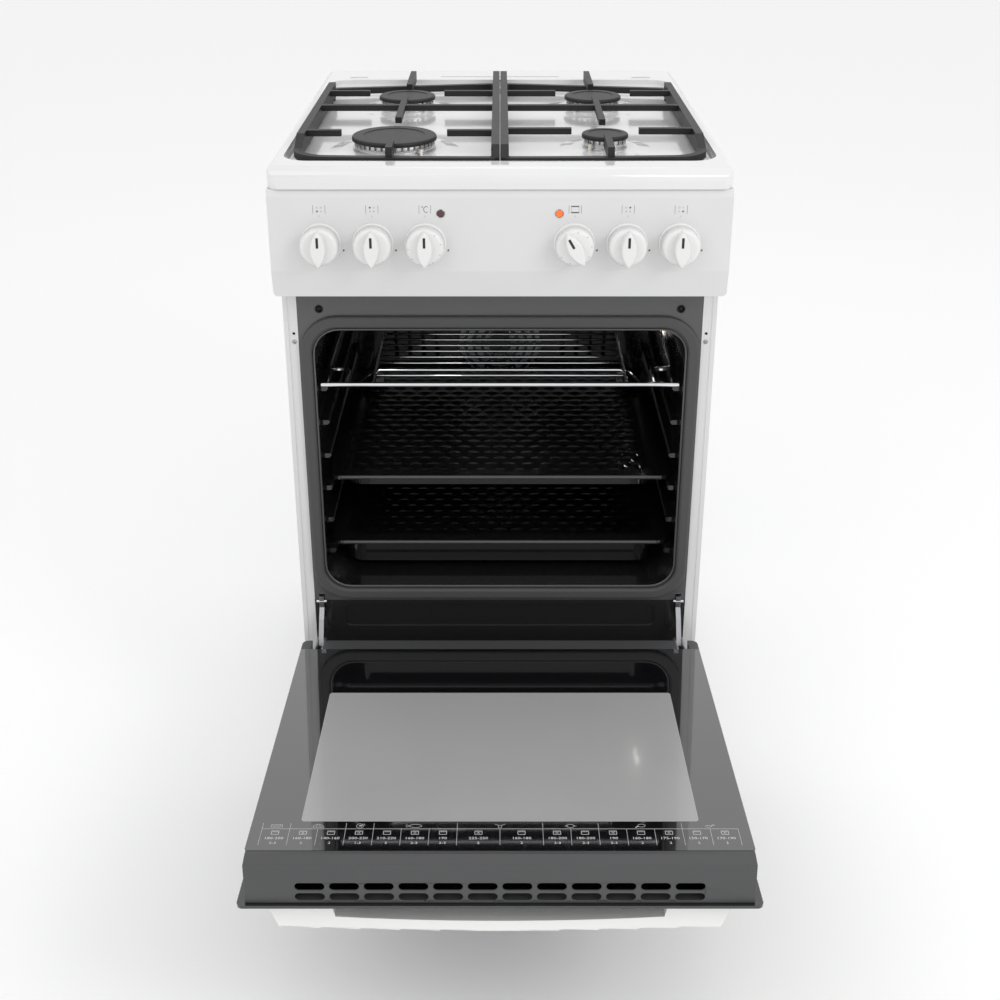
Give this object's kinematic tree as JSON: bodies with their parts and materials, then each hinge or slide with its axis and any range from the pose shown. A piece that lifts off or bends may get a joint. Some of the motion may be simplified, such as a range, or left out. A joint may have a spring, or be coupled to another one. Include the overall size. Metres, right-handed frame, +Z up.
{
  "type": "freestanding gas range",
  "caption": "Freestanding gas range with four-burner hob, knobs, fan oven with racks and trays, drop-down glass door shown open, and a storage drawer.",
  "frame": {"origin": "centre of the body's footprint at floor level", "axes": "+X to the right seen from the front, +Y to the wall behind, +Z up"},
  "size_m": [0.5, 1.0319, 0.863],
  "materials": {
    "white_enamel": "gloss",
    "hob_enamel": "gloss",
    "black_enamel": "gloss",
    "dark_paint": "satin",
    "zinc_steel": "satin",
    "chrome": "polished",
    "element_steel": "satin",
    "aluminium": "satin",
    "cast_iron": "enamelled",
    "brass": "machined",
    "seal": "matt",
    "door_glass": "mirror",
    "outer_glass": "clear",
    "lens_clear": "clear",
    "profile_grey": "painted satin",
    "white_plastic": "gloss",
    "knob_white": "satin",
    "bezel_grey": "satin",
    "lens_red": "gloss",
    "lens_orange": "gloss",
    "wool": "fibrous",
    "ceramic": "matt",
    "switch_plastic": "matt"
  },
  "bodies": {
    "casing": {"side_panel_right": "white_enamel", "side_panel_left": "white_enamel", "back_panel": "zinc_steel", "base_tray": "zinc_steel", "front_plate": "dark_paint", "lower_apron": "black_enamel", "levelling_feet": "switch_plastic", "oven_liner": "black_enamel", "insulation": "wool", "oven_gasket": "seal", "grill_element": "element_steel", "lower_element": "element_steel", "fan_cover": "black_enamel", "fan_motor": "zinc_steel", "lamp_lens": "lens_clear", "hinge_arms": "chrome", "control_panel": "white_enamel", "knob_bezels": "bezel_grey", "oven_controls": "switch_plastic", "gas_taps": "brass", "gas_rail": "element_steel", "burner_pipes": "aluminium", "burner_cups": "aluminium", "igniters": "ceramic", "flame_spreaders": "aluminium", "lens_oven": "lens_red", "lens_power": "lens_orange", "hob_top": "hob_enamel", "drawer_runners": "zinc_steel"},
    "door": {"door_outer_glass": "outer_glass", "door_inner_glass": "door_glass", "door_top_profile": "profile_grey", "door_side_rails": "profile_grey", "door_bottom_rail": "profile_grey", "door_handle": "white_plastic", "hinge_channels": "zinc_steel"},
    "fan": {"fan_impeller": "zinc_steel"},
    "wire_shelf": {"wire_shelf": "chrome"},
    "baking_tray": {"baking_tray": "black_enamel"},
    "roasting_tray": {"roasting_tray": "black_enamel"},
    "drawer": {"drawer_front": "white_enamel", "drawer_box": "zinc_steel"},
    "pan_support_left": {"pan_support_left": "cast_iron"},
    "pan_support_right": {"pan_support_right": "cast_iron"},
    "cap_front_left": {"cap_front_left": "black_enamel"},
    "cap_rear_left": {"cap_rear_left": "black_enamel"},
    "cap_rear_right": {"cap_rear_right": "black_enamel"},
    "cap_front_right": {"cap_front_right": "black_enamel"},
    "gas_spindle_1": {"gas_spindle_1": "zinc_steel"},
    "knob_1": {"knob_1": "knob_white"},
    "gas_spindle_2": {"gas_spindle_2": "zinc_steel"},
    "knob_2": {"knob_2": "knob_white"},
    "gas_spindle_5": {"gas_spindle_5": "zinc_steel"},
    "knob_5": {"knob_5": "knob_white"},
    "gas_spindle_6": {"gas_spindle_6": "zinc_steel"},
    "knob_6": {"knob_6": "knob_white"},
    "knob_3": {"knob_3": "knob_white", "thermostat_spindle": "zinc_steel"},
    "knob_4": {"knob_4": "knob_white", "function_spindle": "zinc_steel"}
  },
  "joints": [
    {"name": "door_hinge", "type": "hinge", "parent": "casing", "child": "door", "pos_m": [0, -0.279, 0.24], "axis": [1, 0, 0], "range_deg": [-85.25, 0]},
    {"name": "fan_spin", "type": "hinge", "parent": "casing", "child": "fan", "pos_m": [0, 0.16, 0.479], "axis": [0, 1, 0], "continuous": true},
    {"name": "wire_shelf_slide", "type": "slide", "parent": "casing", "child": "wire_shelf", "axis": [0, -1, 0], "range_m": [0, 0.3]},
    {"name": "baking_tray_slide", "type": "slide", "parent": "casing", "child": "baking_tray", "axis": [0, -1, 0], "range_m": [0, 0.3]},
    {"name": "roasting_tray_slide", "type": "slide", "parent": "casing", "child": "roasting_tray", "axis": [0, -1, 0], "range_m": [0, 0.3]},
    {"name": "drawer_slide", "type": "slide", "parent": "casing", "child": "drawer", "axis": [0, -1, 0], "range_m": [0, 0.33]},
    {"name": "pan_support_left_lift", "type": "slide", "parent": "casing", "child": "pan_support_left", "axis": [0, 0, 1], "range_m": [0, 0.08]},
    {"name": "pan_support_right_lift", "type": "slide", "parent": "casing", "child": "pan_support_right", "axis": [0, 0, 1], "range_m": [0, 0.08]},
    {"name": "cap_front_left_lift", "type": "slide", "parent": "casing", "child": "cap_front_left", "axis": [0, 0, 1], "range_m": [0, 0.03]},
    {"name": "cap_rear_left_lift", "type": "slide", "parent": "casing", "child": "cap_rear_left", "axis": [0, 0, 1], "range_m": [0, 0.03]},
    {"name": "cap_rear_right_lift", "type": "slide", "parent": "casing", "child": "cap_rear_right", "axis": [0, 0, 1], "range_m": [0, 0.03]},
    {"name": "cap_front_right_lift", "type": "slide", "parent": "casing", "child": "cap_front_right", "axis": [0, 0, 1], "range_m": [0, 0.03]},
    {"name": "gas_turn_1", "type": "hinge", "parent": "casing", "child": "gas_spindle_1", "pos_m": [-0.1942, -0.31, 0.7677], "axis": [0, -1, 0], "range_deg": [0, 210]},
    {"name": "knob_press_1", "type": "slide", "parent": "gas_spindle_1", "child": "knob_1", "axis": [0, 1, 0], "range_m": [0, 0.004], "stiffness_N_per_m": 600, "springref_m": -0.002},
    {"name": "gas_turn_2", "type": "hinge", "parent": "casing", "child": "gas_spindle_2", "pos_m": [-0.1374, -0.31, 0.7677], "axis": [0, -1, 0], "range_deg": [0, 210]},
    {"name": "knob_press_2", "type": "slide", "parent": "gas_spindle_2", "child": "knob_2", "axis": [0, 1, 0], "range_m": [0, 0.004], "stiffness_N_per_m": 600, "springref_m": -0.002},
    {"name": "gas_turn_5", "type": "hinge", "parent": "casing", "child": "gas_spindle_5", "pos_m": [0.1374, -0.31, 0.7677], "axis": [0, -1, 0], "range_deg": [0, 210]},
    {"name": "knob_press_5", "type": "slide", "parent": "gas_spindle_5", "child": "knob_5", "axis": [0, 1, 0], "range_m": [0, 0.004], "stiffness_N_per_m": 600, "springref_m": -0.002},
    {"name": "gas_turn_6", "type": "hinge", "parent": "casing", "child": "gas_spindle_6", "pos_m": [0.1942, -0.31, 0.7677], "axis": [0, -1, 0], "range_deg": [0, 210]},
    {"name": "knob_press_6", "type": "slide", "parent": "gas_spindle_6", "child": "knob_6", "axis": [0, 1, 0], "range_m": [0, 0.004], "stiffness_N_per_m": 600, "springref_m": -0.002},
    {"name": "thermostat_turn", "type": "hinge", "parent": "casing", "child": "knob_3", "pos_m": [-0.0806, -0.31, 0.7677], "axis": [0, -1, 0], "range_deg": [-280, 0]},
    {"name": "function_turn", "type": "hinge", "parent": "casing", "child": "knob_4", "pos_m": [0.0806, -0.31, 0.7677], "axis": [0, -1, 0], "range_deg": [-30, 270]}
  ]
}
